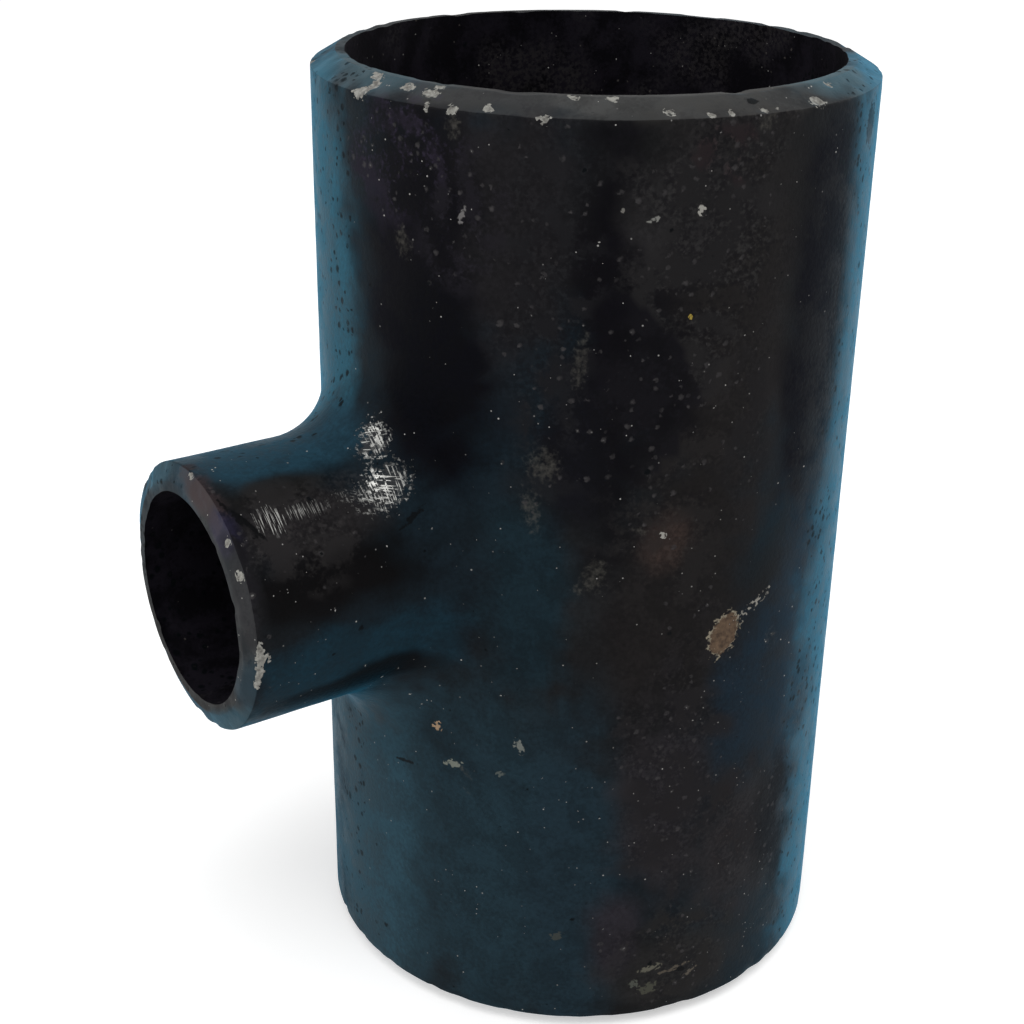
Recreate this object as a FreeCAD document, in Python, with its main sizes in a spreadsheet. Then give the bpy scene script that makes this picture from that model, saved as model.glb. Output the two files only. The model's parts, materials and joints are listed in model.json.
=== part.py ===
import FreeCAD, Part
import os
import Sketcher
from FreeCAD import Vector

# Butt-weld reducing tee: one piece of carbon steel, with its outlet pulled hot out of a
# length of pipe. The run stands upright on its lower end with its axis on +Z, and the
# smaller branch leaves it square along -X. Every end is cut for welding: a flat root
# face round the bore, and a bevel from there out to the pipe's outside.

# Driving sizes, in millimetres and degrees.
SIZES = [
    # The run: the stretch of pipe that the tee is welded into.
    ("run_outside_diameter", 88.9),
    ("run_wall", 5.5),
    ("lower_end_to_branch_axis", 80.0),
    ("upper_end_to_branch_axis", 76.0),
    # The branch: the outlet drawn out of the run's wall.
    ("branch_outside_diameter", 42.4),
    ("branch_wall", 4.5),
    ("run_axis_to_branch_face", 74.0),
    # The crotch, where the drawn wall turns from the run into the branch.
    ("outer_crotch_radius", 11.5),
    ("inner_crotch_radius", 10.0),
    # The ends prepared for welding, with bevel angles taken from the plane of the end.
    ("run_root_face", 1.5),
    ("run_bevel_angle", 30.0),
    ("branch_root_face", 1.6),
    ("branch_bevel_angle", 21.0),
    # The bevels' outer edges, rounded by blasting, handling and paint.
    ("run_edge_radius", 0.5),
    ("branch_edge_radius", 0.8),
]

# Two radii no further apart than this are one and the same.
SAME_RADIUS = 1e-6

doc = FreeCAD.newDocument("reducing_tee")
sheet = doc.addObject("Spreadsheet::Sheet", "sizes")
for row, (alias, value) in enumerate(SIZES, start=1):
    sheet.set(f"A{row}", alias)
    sheet.set(f"B{row}", str(value))
    sheet.setAlias(f"B{row}", alias)
doc.recompute()

# Lengths that follow from the driving sizes.
RUN_RADIUS = "sizes.run_outside_diameter / 2"
RUN_BORE_RADIUS = "(sizes.run_outside_diameter / 2 - sizes.run_wall)"
RUN_ROOT_RADIUS = f"{RUN_BORE_RADIUS} + sizes.run_root_face"
RUN_BEVEL_DEPTH = "(sizes.run_wall - sizes.run_root_face) * tan(sizes.run_bevel_angle * 1deg)"
RUN_LENGTH = "sizes.lower_end_to_branch_axis + sizes.upper_end_to_branch_axis"
BRANCH_HEIGHT = "sizes.lower_end_to_branch_axis"
BRANCH_REACH = "sizes.run_axis_to_branch_face"
BRANCH_RADIUS = "sizes.branch_outside_diameter / 2"
BRANCH_BORE_RADIUS = "(sizes.branch_outside_diameter / 2 - sizes.branch_wall)"
BRANCH_ROOT_RADIUS = f"{BRANCH_BORE_RADIUS} + sizes.branch_root_face"
BRANCH_BEVEL_DEPTH = (
    "(sizes.branch_wall - sizes.branch_root_face) * tan(sizes.branch_bevel_angle * 1deg)"
)

tee = doc.addObject("PartDesign::Body", "tee_body")
tee.Label = "tee_body"


def length(expression):
    """The plain number that an expression of the sheet comes to."""
    result = sheet.evalExpression(expression)
    return float(getattr(result, "Value", result))


def sketch_on(plane_role, name):
    """A sketch on one of the tee's own origin planes."""
    plane = next(p for p in tee.Origin.OriginFeatures if p.Role == plane_role)
    sketch = tee.newObject("Sketcher::SketchObject", name)
    sketch.AttachmentSupport = [(plane, "")]
    sketch.MapMode = "FlatFace"
    return sketch


def outline(sketch, corners):
    """Straight sides through the corners, closed, with the first corner on the origin."""
    count = len(corners)
    for i in range(count):
        sketch.addGeometry(Part.LineSegment(corners[i], corners[(i + 1) % count]), False)
    for i in range(count):
        sketch.addConstraint(Sketcher.Constraint("Coincident", i, 2, (i + 1) % count, 1))
    sketch.addConstraint(Sketcher.Constraint("Coincident", 0, 1, -1, 1))


def align(sketch, direction, *sides):
    """Sides that stay horizontal or vertical."""
    for side in sides:
        sketch.addConstraint(Sketcher.Constraint(direction, side))


def dimension(sketch, name, expression, kind, *places):
    """A named dimension of a sketch, driven by an expression of the sheet."""
    index = sketch.addConstraint(Sketcher.Constraint(kind, *places, length(expression)))
    sketch.renameConstraint(index, name)
    sketch.setExpression(f"Constraints.{name}", expression)


def revolve(sketch, axis, name):
    """The sketched section, turned right round one axis of its sketch."""
    turned = tee.newObject("PartDesign::Revolution", name)
    turned.Profile = sketch
    turned.ReferenceAxis = (sketch, [axis])
    turned.Angle = 360.0
    sketch.Visibility = False
    doc.recompute()


def bore(sketch, name, reversed_way):
    """A round bore cut right through, checked to have taken metal away."""
    before = tee.Tip.Shape.Volume
    cut = tee.newObject("PartDesign::Pocket", name)
    cut.Profile = sketch
    cut.Type = "ThroughAll"
    cut.Reversed = reversed_way
    sketch.Visibility = False
    doc.recompute()
    if cut.Shape.Volume >= before:
        raise RuntimeError(f"{name} cut nothing")


def is_round(face, radius):
    """Whether a face is a cylinder of this radius."""
    surface = face.Surface
    return isinstance(surface, Part.Cylinder) and abs(surface.Radius - radius) < SAME_RADIUS


def edges_where(shape, first, second):
    """Names of the edges that lie between a face of the first kind and one of the second."""
    names = []
    for number, edge in enumerate(shape.Edges, start=1):
        faces = shape.ancestorsOfType(edge, Part.Face)
        if any(first(f) for f in faces) and any(second(f) for f in faces):
            names.append(f"Edge{number}")
    return names


def round_edges(name, radius_alias, first, second):
    """A constant-radius fillet along every edge between two kinds of face."""
    base = tee.Tip
    edges = edges_where(base.Shape, first, second)
    if not edges:
        raise RuntimeError(f"{name} found no edge")
    fillet = tee.newObject("PartDesign::Fillet", name)
    fillet.Base = (base, edges)
    fillet.Radius = length(f"sizes.{radius_alias}")
    fillet.setExpression("Radius", f"sizes.{radius_alias}")
    doc.recompute()


def run_outside(face):
    return is_round(face, length(RUN_RADIUS))


def run_inside(face):
    return is_round(face, length(RUN_BORE_RADIUS))


def branch_outside(face):
    return is_round(face, length(BRANCH_RADIUS))


def branch_inside(face):
    return is_round(face, length(BRANCH_BORE_RADIUS))


def bevel(face):
    return isinstance(face.Surface, Part.Cone)


# The run as a solid bar, bevelled at both ends: half its section, turned round +Z.
run_section = sketch_on("XZ_Plane", "run_section")
outline(run_section, [
    Vector(0, 0, 0),
    Vector(length(RUN_ROOT_RADIUS), 0, 0),
    Vector(length(RUN_RADIUS), length(RUN_BEVEL_DEPTH), 0),
    Vector(length(RUN_RADIUS), length(RUN_LENGTH) - length(RUN_BEVEL_DEPTH), 0),
    Vector(length(RUN_ROOT_RADIUS), length(RUN_LENGTH), 0),
    Vector(0, length(RUN_LENGTH), 0),
])
align(run_section, "Horizontal", 0, 4)
align(run_section, "Vertical", 2, 5)
run_section.addConstraint(Sketcher.Constraint("Equal", 0, 4))
dimension(run_section, "root_radius", RUN_ROOT_RADIUS, "DistanceX", 0, 1, 0, 2)
dimension(run_section, "outside_radius", RUN_RADIUS, "DistanceX", -1, 1, 1, 2)
dimension(run_section, "lower_bevel", RUN_BEVEL_DEPTH, "DistanceY", 1, 1, 1, 2)
dimension(run_section, "upper_bevel", RUN_BEVEL_DEPTH, "DistanceY", 3, 1, 3, 2)
dimension(run_section, "end_to_end", RUN_LENGTH, "DistanceY", 5, 2, 5, 1)
revolve(run_section, "V_Axis", "run_bar")
round_edges("run_bevel_edges", "run_edge_radius", bevel, run_outside)

# The branch as a solid bar from the run's axis out to its bevelled face along -X.
branch_section = sketch_on("XZ_Plane", "branch_section")
branch_section.AttachmentOffset = FreeCAD.Placement(
    Vector(0, length(BRANCH_HEIGHT), 0), FreeCAD.Rotation()
)
branch_section.setExpression("AttachmentOffset.Base.y", BRANCH_HEIGHT)
outline(branch_section, [
    Vector(0, 0, 0),
    Vector(0, length(BRANCH_RADIUS), 0),
    Vector(length(BRANCH_BEVEL_DEPTH) - length(BRANCH_REACH), length(BRANCH_RADIUS), 0),
    Vector(-length(BRANCH_REACH), length(BRANCH_ROOT_RADIUS), 0),
    Vector(-length(BRANCH_REACH), 0, 0),
])
align(branch_section, "Vertical", 0, 3)
align(branch_section, "Horizontal", 1, 4)
dimension(branch_section, "outside_radius", BRANCH_RADIUS, "DistanceY", 0, 1, 0, 2)
dimension(branch_section, "reach", BRANCH_REACH, "DistanceX", 4, 1, 4, 2)
dimension(branch_section, "bevel", BRANCH_BEVEL_DEPTH, "DistanceX", 2, 2, 2, 1)
dimension(branch_section, "root_radius", BRANCH_ROOT_RADIUS, "DistanceY", 3, 2, 3, 1)
revolve(branch_section, "H_Axis", "branch_bar")
round_edges("branch_bevel_edge", "branch_edge_radius", bevel, branch_outside)

# The outer crotch: the wide hollow blend all round the foot of the branch.
round_edges("outer_crotch", "outer_crotch_radius", run_outside, branch_outside)

# The run's bore, from end to end.
run_circle = sketch_on("XY_Plane", "run_circle")
run_circle.addGeometry(Part.Circle(Vector(0, 0, 0), Vector(0, 0, 1), length(RUN_BORE_RADIUS)), False)
run_circle.addConstraint(Sketcher.Constraint("Coincident", 0, 3, -1, 1))
dimension(run_circle, "bore_radius", RUN_BORE_RADIUS, "Radius", 0)
bore(run_circle, "run_bore", True)

# The branch's bore, from the run's axis out through the branch face.
branch_circle = sketch_on("YZ_Plane", "branch_circle")
branch_centre = Vector(0, length(BRANCH_HEIGHT), 0)
branch_circle.addGeometry(
    Part.Circle(branch_centre, Vector(0, 0, 1), length(BRANCH_BORE_RADIUS)), False
)
branch_circle.addConstraint(Sketcher.Constraint("PointOnObject", 0, 3, -2))
dimension(branch_circle, "height", BRANCH_HEIGHT, "DistanceY", -1, 1, 0, 3)
dimension(branch_circle, "bore_radius", BRANCH_BORE_RADIUS, "Radius", 0)
bore(branch_circle, "branch_bore", False)

# The inner crotch: the drawn wall rolls over from the run's bore into the branch's bore.
round_edges("inner_crotch", "inner_crotch_radius", run_inside, branch_inside)

doc.recompute()
for feature in doc.Objects:
    if "Invalid" in feature.State or "Error" in feature.State:
        raise RuntimeError(f"{feature.Name} failed: {feature.State}")
if tee.Shape.isNull() or not tee.Shape.isValid() or len(tee.Shape.Solids) != 1:
    raise RuntimeError("tee_body is not one valid solid")

os.makedirs("parts", exist_ok=True)
tee.Shape.exportStep("parts/tee_body.step")
box = tee.Shape.optimalBoundingBox(True, False)
print(f"tee_body: {tee.Shape.Volume:.0f} mm3, {box.XLength:.2f} x {box.YLength:.2f} x {box.ZLength:.2f} mm")
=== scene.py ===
import json
import math

import bmesh
import bpy
from mathutils import Matrix, Vector, kdtree, noise


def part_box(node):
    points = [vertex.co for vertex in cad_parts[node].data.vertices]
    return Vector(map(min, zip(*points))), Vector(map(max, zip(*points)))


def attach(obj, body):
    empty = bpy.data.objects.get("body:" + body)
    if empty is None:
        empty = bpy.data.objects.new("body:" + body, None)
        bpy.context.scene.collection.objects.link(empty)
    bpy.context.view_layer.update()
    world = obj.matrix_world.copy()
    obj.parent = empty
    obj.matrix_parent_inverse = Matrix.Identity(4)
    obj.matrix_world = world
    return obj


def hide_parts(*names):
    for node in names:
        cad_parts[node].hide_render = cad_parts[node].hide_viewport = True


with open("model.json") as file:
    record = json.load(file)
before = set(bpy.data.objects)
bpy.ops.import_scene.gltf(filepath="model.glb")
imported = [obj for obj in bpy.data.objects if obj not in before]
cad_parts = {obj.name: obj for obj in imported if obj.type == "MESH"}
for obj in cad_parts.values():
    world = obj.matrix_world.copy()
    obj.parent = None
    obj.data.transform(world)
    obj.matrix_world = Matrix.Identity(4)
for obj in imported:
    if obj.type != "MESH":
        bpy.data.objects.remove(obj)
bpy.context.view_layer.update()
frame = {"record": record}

# The wall of the tee. One piece of carbon steel: a run of pipe with its outlet drawn hot out
# of the wall, then cut square and bevelled at all three ends for welding. Half its section is
# turned round the run, the outlet is drawn out ring by ring, and the half is mirrored.

MM = 0.001
mounts = {mount["name"]: mount for mount in frame["record"]["mounts"]}
box_low, box_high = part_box("tee_body")

RUN_RADIUS = box_high[0]
RUN_LENGTH = box_high[2]
RUN_BORE = mounts["run_bore"]["dims"]["r_mm"] * MM
BRANCH_HEIGHT = mounts["branch_bore"]["pos_m"][2]
BRANCH_BORE = mounts["branch_bore"]["dims"]["r_mm"] * MM
BRANCH_REACH = -box_low[0]
BRANCH_RADIUS = 21.2 * MM
OUTER_CROTCH = 11.5 * MM
INNER_CROTCH = 10.0 * MM

RUN_ROOT_FACE = 1.5 * MM
RUN_BEVEL_DEPTH = 2.31 * MM
BRANCH_ROOT_FACE = 1.6 * MM
BRANCH_BEVEL_DEPTH = 1.11 * MM
OUTER_EDGE_ROUND = 0.6 * MM

HALF_COLUMNS = 150
WINDOW_COLUMNS = 35
ROW = 1.2 * MM
END_ROW = 0.4 * MM
BORE_ROW = 2.5 * MM
WINDOW_HALF_HEIGHT = 37.4 * MM
ARC_STEPS = 4
SHARP_ANGLE = math.radians(38)
CROTCH_STEPS = 14
SKIRT_STEPS = 4
STRAIGHT_ROWS = 16
BORE_ROWS = 16

# How near counts as touching, and how far inside a bevel its edge still counts as wall.
TOUCHING = 0.01 * MM
TURN_SLACK = 1e-4
TINY = 1e-9
BEVEL_MARGIN = 0.05 * MM

run_root = RUN_BORE + RUN_ROOT_FACE
branch_root = BRANCH_BORE + BRANCH_ROOT_FACE
window_low = BRANCH_HEIGHT - WINDOW_HALF_HEIGHT
window_high = BRANCH_HEIGHT + WINDOW_HALF_HEIGHT
window_half_turn = math.pi * WINDOW_COLUMNS / HALF_COLUMNS


def divided_section(corners, closed=True):
    """Points along a section of straight sides, its corners rounded and its sides divided.

    Each corner is (across, along, corner radius, spacing on the side that follows it).
    """
    count = len(corners)
    ends = []
    for i, (across, along, radius, _) in enumerate(corners):
        here = Vector((across, along))
        if radius == 0 or (not closed and i in (0, count - 1)):
            ends.append([here])
            continue
        before = (Vector(corners[i - 1][:2]) - here).normalized()
        after = (Vector(corners[(i + 1) % count][:2]) - here).normalized()
        half = before.angle(after) / 2
        centre = here + (before + after).normalized() * radius / math.sin(half)
        start = here + before * radius / math.tan(half) - centre
        finish = here + after * radius / math.tan(half) - centre
        turn = start.angle_signed(finish)
        ends.append([centre + Matrix.Rotation(-turn * k / ARC_STEPS, 2) @ start
                     for k in range(ARC_STEPS + 1)])
    points = []
    for i in range(count if closed else count - 1):
        points += ends[i]
        leave, arrive = ends[i][-1], ends[(i + 1) % count][0]
        parts = max(1, round((arrive - leave).length / corners[i][3]))
        points += [leave.lerp(arrive, k / parts) for k in range(1, parts)]
    if not closed:
        points += ends[-1]
    return points


run_section = divided_section([
    (RUN_BORE, 0, 0, END_ROW),
    (run_root, 0, 0, END_ROW),
    (RUN_RADIUS, RUN_BEVEL_DEPTH, OUTER_EDGE_ROUND, ROW),
    (RUN_RADIUS, window_low, 0, ROW),
    (RUN_RADIUS, window_high, 0, ROW),
    (RUN_RADIUS, RUN_LENGTH - RUN_BEVEL_DEPTH, OUTER_EDGE_ROUND, END_ROW),
    (run_root, RUN_LENGTH, 0, END_ROW),
    (RUN_BORE, RUN_LENGTH, 0, BORE_ROW),
    (RUN_BORE, window_high, 0, ROW),
    (RUN_BORE, window_low, 0, BORE_ROW),
])

wall = bmesh.new()
turn_of = wall.verts.layers.float.new("turn")
in_bore = wall.verts.layers.float.new("in_bore")
on_end = wall.verts.layers.float.new("on_end")
chipped = wall.verts.layers.float.new("chipped")
corners = []
for point in run_section:
    corner = wall.verts.new((point.x, 0, point.y))
    inner = point.x < RUN_BORE + TOUCHING
    beyond = min(point.y, RUN_LENGTH - point.y) < RUN_BEVEL_DEPTH - BEVEL_MARGIN
    corner[in_bore] = 1.0 if inner else 0.0
    corner[on_end] = 1.0 if beyond else 0.0
    corners.append(corner)
sides = [wall.edges.new((corners[i - 1], corners[i])) for i in range(len(corners))]
bmesh.ops.spin(wall, geom=corners + sides, cent=(0, 0, 0), axis=(0, 0, 1),
               angle=math.pi, steps=HALF_COLUMNS)


def in_window(face):
    centre = face.calc_center_median()
    aside = math.atan2(centre.y, -centre.x)
    return aside < window_half_turn and abs(centre.z - BRANCH_HEIGHT) < WINDOW_HALF_HEIGHT


# The windows that the outlet is drawn through, one in the outside and one in the bore.
bmesh.ops.delete(wall, geom=[face for face in wall.faces if in_window(face)], context="FACES")


def on_run(radius, aside, up):
    """A place on a cylinder round the run's axis, reached from the branch's axis on the skin."""
    angle = aside / radius
    return Vector((-radius * math.cos(angle), radius * math.sin(angle), BRANCH_HEIGHT + up))


def on_branch(radius, turn, along):
    """A place on a cylinder round the branch's axis, at a distance from the run's axis."""
    return Vector((-along, radius * math.sin(turn), BRANCH_HEIGHT + radius * math.cos(turn)))


def crotch_centre(run_radius, branch_radius, ball, turn):
    """The middle of a ball that rolls in the crotch, touching the run and the branch."""
    far = branch_radius + ball
    aside = far * math.sin(turn)
    depth = math.sqrt((run_radius + ball) ** 2 - aside ** 2)
    return Vector((-depth, aside, BRANCH_HEIGHT + far * math.cos(turn)))


def crotch_contacts(run_radius, branch_radius, ball, turn):
    """Where that ball touches the run, and where it touches the branch."""
    centre = crotch_centre(run_radius, branch_radius, ball, turn)
    share = run_radius / (run_radius + ball)
    run_touch = Vector((centre.x * share, centre.y * share, centre.z))
    return run_touch, on_branch(branch_radius, turn, -centre.x)


def crotch_arc(run_radius, branch_radius, ball, turn, part):
    """A place on the ball between its two contacts, from the run at 0 to the branch at 1."""
    centre = crotch_centre(run_radius, branch_radius, ball, turn)
    run_touch, branch_touch = crotch_contacts(run_radius, branch_radius, ball, turn)
    start, finish = run_touch - centre, branch_touch - centre
    swing = start.angle(finish)
    leave = math.sin((1 - part) * swing) / math.sin(swing)
    arrive = math.sin(part * swing) / math.sin(swing)
    return centre + start * leave + finish * arrive


def skirt(run_radius, branch_radius, ball, turn, part):
    """A place on the run's skin between the window's frame at 0 and the crotch's edge at 1."""
    touch = crotch_contacts(run_radius, branch_radius, ball, turn)[0]
    touch_aside = run_radius * math.atan2(touch.y, -touch.x)
    across, up = max(TINY, abs(math.sin(turn))), max(TINY, abs(math.cos(turn)))
    reach = min(run_radius * window_half_turn / across, WINDOW_HALF_HEIGHT / up)
    aside = (1 - part) * reach * math.sin(turn) + part * touch_aside
    up = (1 - part) * reach * math.cos(turn) + part * (touch.z - BRANCH_HEIGHT)
    return on_run(run_radius, aside, up)


def window_frame(nearest, farthest):
    """The edges round a window, between two distances from the run's axis."""
    def framing(edge):
        return all(nearest < math.hypot(vert.co.x, vert.co.y) < farthest
                   and vert.co.x < 0
                   and math.atan2(vert.co.y, -vert.co.x) < window_half_turn + TURN_SLACK
                   and abs(vert.co.z - BRANCH_HEIGHT) < WINDOW_HALF_HEIGHT + TOUCHING
                   for vert in edge.verts)

    def on_mirror(edge):
        return all(abs(vert.co.y) < TOUCHING for vert in edge.verts)

    return [edge for edge in wall.edges
            if edge.is_boundary and framing(edge) and not on_mirror(edge)]


def draw_out(loop, place, bore=0.0, end=0.0):
    """Pull a row of open edges out to a new ring, where place(turn) puts each corner."""
    made = bmesh.ops.extrude_edge_only(wall, edges=loop)["geom"]
    fresh = {item for item in made if isinstance(item, bmesh.types.BMVert)}
    for vert in fresh:
        vert.co = place(vert[turn_of])
        vert[in_bore] = bore
        vert[on_end] = end
    return [item for item in made if isinstance(item, bmesh.types.BMEdge)
            and all(vert in fresh for vert in item.verts)]


middle_of_wall = (RUN_BORE + RUN_RADIUS) / 2
loop = window_frame(middle_of_wall, 2 * RUN_RADIUS)
bore_frame = window_frame(0, middle_of_wall)
for edge in loop + bore_frame:
    for vert in edge.verts:
        aside = RUN_RADIUS * math.atan2(vert.co.y, -vert.co.x)
        vert[turn_of] = math.atan2(aside, vert.co.z - BRANCH_HEIGHT)

outer_skin = (RUN_RADIUS, BRANCH_RADIUS, OUTER_CROTCH)
bore_skin = (RUN_BORE, BRANCH_BORE, INNER_CROTCH)
for step in range(1, SKIRT_STEPS + 1):
    loop = draw_out(loop, lambda turn: skirt(*outer_skin, turn, step / SKIRT_STEPS))
for step in range(1, CROTCH_STEPS + 1):
    loop = draw_out(loop, lambda turn: crotch_arc(*outer_skin, turn, step / CROTCH_STEPS))

straight_end = BRANCH_REACH - BRANCH_BEVEL_DEPTH - 2 * OUTER_EDGE_ROUND
for row in range(1, STRAIGHT_ROWS + 1):
    def along_straight(turn):
        start = -crotch_contacts(*outer_skin, turn)[1].x
        return on_branch(BRANCH_RADIUS, turn, start + (straight_end - start) * row / STRAIGHT_ROWS)
    loop = draw_out(loop, along_straight)

mouth_depth = BRANCH_REACH - END_ROW
branch_rim = divided_section([
    (BRANCH_RADIUS, straight_end, 0, END_ROW),
    (BRANCH_RADIUS, BRANCH_REACH - BRANCH_BEVEL_DEPTH, OUTER_EDGE_ROUND, END_ROW),
    (branch_root, BRANCH_REACH, 0, END_ROW),
    (BRANCH_BORE, BRANCH_REACH, 0, END_ROW),
    (BRANCH_BORE, mouth_depth, 0, END_ROW),
], closed=False)
for radius, along in branch_rim[1:]:
    beyond = along > BRANCH_REACH - BRANCH_BEVEL_DEPTH + BEVEL_MARGIN
    inner = radius < BRANCH_BORE + TOUCHING
    loop = draw_out(loop, lambda turn: on_branch(radius, turn, along),
                    bore=1.0 if inner else 0.0, end=1.0 if beyond else 0.0)

for row in range(1, BORE_ROWS + 1):
    def along_bore(turn):
        finish = -crotch_contacts(*bore_skin, turn)[1].x
        return on_branch(BRANCH_BORE, turn, mouth_depth + (finish - mouth_depth) * row / BORE_ROWS)
    loop = draw_out(loop, along_bore, bore=1.0)
for step in range(1, CROTCH_STEPS + 1):
    loop = draw_out(loop, lambda turn: crotch_arc(*bore_skin, turn, 1 - step / CROTCH_STEPS),
                    bore=1.0)
for step in range(1, SKIRT_STEPS):
    loop = draw_out(loop, lambda turn: skirt(*bore_skin, turn, 1 - step / SKIRT_STEPS),
                    bore=1.0)
bmesh.ops.bridge_loops(wall, edges=loop + bore_frame)

bmesh.ops.mirror(wall, geom=wall.verts[:] + wall.edges[:] + wall.faces[:],
                 matrix=Matrix.Identity(4), merge_dist=TOUCHING, axis="Y")
bmesh.ops.recalc_face_normals(wall, faces=wall.faces)
wall.normal_update()

# Places on the outside, for wear and paint: a place in millimetres, and the turn of a frame
# there. On the run its axes are out, round and up. On the branch they are along, round and out.
# A place within a bevel's height is on the bevel.
RUN_LENGTH_MM = RUN_LENGTH / MM
BRANCH_HEIGHT_MM = BRANCH_HEIGHT / MM
BRANCH_REACH_MM = BRANCH_REACH / MM


def within(value):
    """A value held between 0 and 1."""
    return min(1.0, max(0.0, value))


def bevelled(radius, root, depth, from_end):
    """The radius at a distance in millimetres from a bevelled end."""
    share = within(from_end * MM / depth)
    return (root + (radius - root) * share) / MM


def at_run(angle, height, twist=0.0):
    """A place on the run, at an angle from +X towards +Y, and its frame, twisted about out."""
    angle = math.radians(angle)
    from_end = min(height, RUN_LENGTH_MM - height)
    radius = bevelled(RUN_RADIUS, run_root, RUN_BEVEL_DEPTH, from_end)
    place = Vector((radius * math.cos(angle), radius * math.sin(angle), height))
    turn = Matrix.Rotation(angle, 3, "Z") @ Matrix.Rotation(math.radians(twist), 3, "X")
    return place, turn.to_euler()


def at_branch(along, around, twist=0.0):
    """A place on the branch, at an angle from its top towards +Y, and its frame, as above."""
    around = math.radians(around)
    radius = bevelled(BRANCH_RADIUS, branch_root, BRANCH_BEVEL_DEPTH, BRANCH_REACH_MM - along)
    height = BRANCH_HEIGHT_MM + radius * math.cos(around)
    place = Vector((-along, radius * math.sin(around), height))
    turn = Matrix.Rotation(-around, 3, "X") @ Matrix.Rotation(math.radians(twist), 3, "Z")
    return place, turn.to_euler()


# Chips knocked out of the bevelled ends: angle, height, half width and half height.
TOP_CHIPS = [
    (-176.0, 153.8, 1.6, 0.68), (-174.3, 154.7, 0.9, 0.90), (-176.3, 155.7, 1.4, 0.38),
    (-165.5, 155.3, 1.4, 0.38), (-159.5, 155.1, 1.5, 0.45), (-158.6, 155.9, 0.7, 0.25),
    (-158.6, 153.8, 0.4, 0.38), (-152.8, 153.8, 0.9, 0.68), (-146.1, 154.2, 0.8, 0.45),
    (-135.7, 153.6, 1.0, 0.30), (-131.2, 156.0, 0.9, 0.30), (-123.7, 155.9, 0.8, 0.38),
    (-113.4, 154.5, 0.7, 0.38), (-106.0, 154.0, 0.6, 0.25), (-102.2, 154.1, 0.5, 0.30),
    (-95.0, 154.1, 0.6, 0.30), (-91.8, 154.1, 0.4, 0.25), (-81.4, 154.2, 1.5, 0.68),
    (-73.1, 155.5, 0.7, 0.30), (24.0, 154.4, 1.0, 0.45), (61.0, 153.8, 0.6, 0.38),
    (118.0, 155.2, 1.2, 0.38), (151.0, 153.9, 0.7, 0.38),
]
LOWER_CHIPS = [
    (-140.0, 1.9, 1.6, 0.5), (-96.0, 1.2, 2.0, 0.5), (-30.0, 1.6, 1.5, 0.6),
    (48.0, 1.9, 1.2, 0.5), (97.0, 1.1, 2.2, 0.6), (166.0, 1.7, 1.4, 0.5),
]
# The same for the branch's rim: distance along, angle, half length and half width.
RIM_CHIPS = [
    (73.0, -4.3, 0.4, 0.8), (73.3, -43.0, 0.5, 0.6), (73.3, -58.0, 0.4, 0.9),
    (72.6, -88.0, 0.6, 1.0), (72.5, -93.0, 1.0, 1.5), (72.7, -99.0, 0.8, 1.6),
    (72.9, -105.0, 0.6, 1.4), (73.4, 96.0, 0.7, 1.6), (72.9, 150.0, 0.8, 1.4),
]
CHIP_DEPTH = 0.28
RIM_CHIP_THICKNESS = 0.9


def down_the_bevel(tall):
    """How thick and how tall a chip is, so that it follows the bevel's slope."""
    return 1.2 * tall + 0.5, tall + 0.25


chips = []
for angle, height, across, tall in TOP_CHIPS + LOWER_CHIPS:
    thick, high = down_the_bevel(tall)
    chips.append((at_run(angle, height), (thick, across, high)))
for along, around, long, across in RIM_CHIPS:
    chips.append((at_branch(along, around), (long, across, RIM_CHIP_THICKNESS)))

# The corners near a mark are found as far away as so many times its largest half size.
MARK_REACH = 1.5
skin = kdtree.KDTree(len(wall.verts))
wall.verts.ensure_lookup_table()
for vert in wall.verts:
    skin.insert(vert.co / MM, vert.index)
skin.balance()


def around_mark(where, size, reach=MARK_REACH):
    """The corners near a mark, each with how far out it is: 0 in the middle, 1 at the edge."""
    centre, turn = where
    unturn = turn.to_matrix().transposed()
    for place, index, _ in skin.find_range(centre, reach * max(size)):
        local = unturn @ (place - centre)
        yield index, place, math.hypot(*(local[i] / size[i] for i in range(3)))


def note_marks(layer, marks):
    """Write marks on a layer of the mesh: 1 in the middle of each, 0 at its edge, less beyond."""
    for vert in wall.verts:
        vert[layer] = 1.0 - MARK_REACH
    for where, size in marks:
        for index, _, out in around_mark(where, size):
            vert = wall.verts[index]
            vert[layer] = max(vert[layer], 1.0 - out)


note_marks(chipped, chips)

# The skin is nowhere true: long forging waves, smaller hollows, and grain from the blasting.
# All of it goes inward, and goes deeper on the sharp edges of the ends. Each wave has its width
# and depth in millimetres.
SKIN_WAVES = ((34.0, 0.12), (9.0, 0.07), (2.8, 0.04))
RUN_EDGE_BAND = 3.2
BRANCH_EDGE_BAND = 1.8
RAGGED_WIDTH = 3.1
RAGGED_DEPTH = 0.5
RAGGED_FROM = 0.12
for vert in wall.verts:
    place = vert.co / MM
    deep = 0.0
    for width, depth in SKIN_WAVES:
        deep += depth * (noise.noise(place / width) + 1.0) / 2.0
    if (min(place.z, RUN_LENGTH_MM - place.z) < RUN_EDGE_BAND
            or -place.x > BRANCH_REACH_MM - BRANCH_EDGE_BAND):
        deep += RAGGED_DEPTH * max(0.0, noise.noise(place / RAGGED_WIDTH) - RAGGED_FROM)
        deep += CHIP_DEPTH * max(0.0, vert[chipped])
    outward = vert.normal
    if vert[in_bore] > 0.5 and vert.co.z > RUN_LENGTH - TOUCHING:
        outward = Vector((0, 0, 1))
    elif vert[in_bore] > 0.5 and -vert.co.x > BRANCH_REACH - TOUCHING:
        outward = Vector((-1, 0, 0))
    vert.co -= outward * deep * MM

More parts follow.
